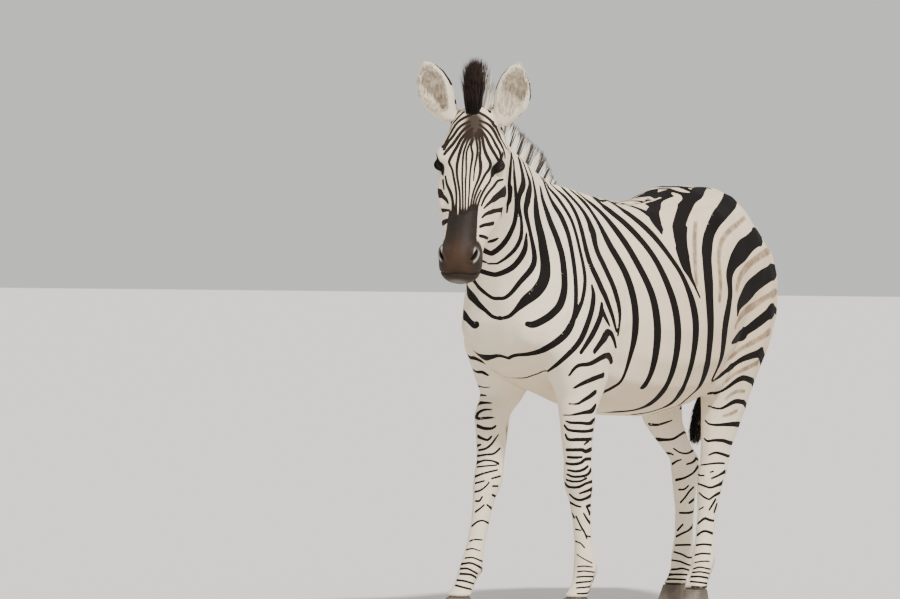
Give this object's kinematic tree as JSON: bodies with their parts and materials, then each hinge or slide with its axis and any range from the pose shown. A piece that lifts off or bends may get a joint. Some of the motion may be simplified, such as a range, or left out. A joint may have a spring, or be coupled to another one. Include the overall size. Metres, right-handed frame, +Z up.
{
  "type": "zebra",
  "caption": "Life-size still model of an adult plains zebra standing with its head turned to its left and one fore foot forward.",
  "frame": {"origin": "on the floor, under the middle of the whole animal", "axes": "+Z up; the trunk lies along Y with the head end towards -Y and the rump towards +Y; +X is the animal's left side"},
  "size_m": [0.5924, 1.8014, 1.6952],
  "materials": {
    "coat": "short flat hair, cream white with near-black stripes",
    "long_hair": "coarse upright hair, near black and cream",
    "eye": "wet dark brown",
    "hoof": "dry grey-brown horn with fine growth rings"
  },
  "bodies": {
    "root": {"head": "coat", "neck": "coat", "trunk": "coat", "tail": "coat", "leg_fore_left": "coat", "leg_fore_right": "coat", "leg_hind_left": "coat", "leg_hind_right": "coat", "ear_left": "coat", "ear_right": "coat", "mane": "long_hair", "forelock": "long_hair", "eye_left": "eye", "eye_right": "eye", "hoof_fore_left": "hoof", "hoof_fore_right": "hoof", "hoof_hind_left": "hoof", "hoof_hind_right": "hoof"}
  },
  "joints": []
}
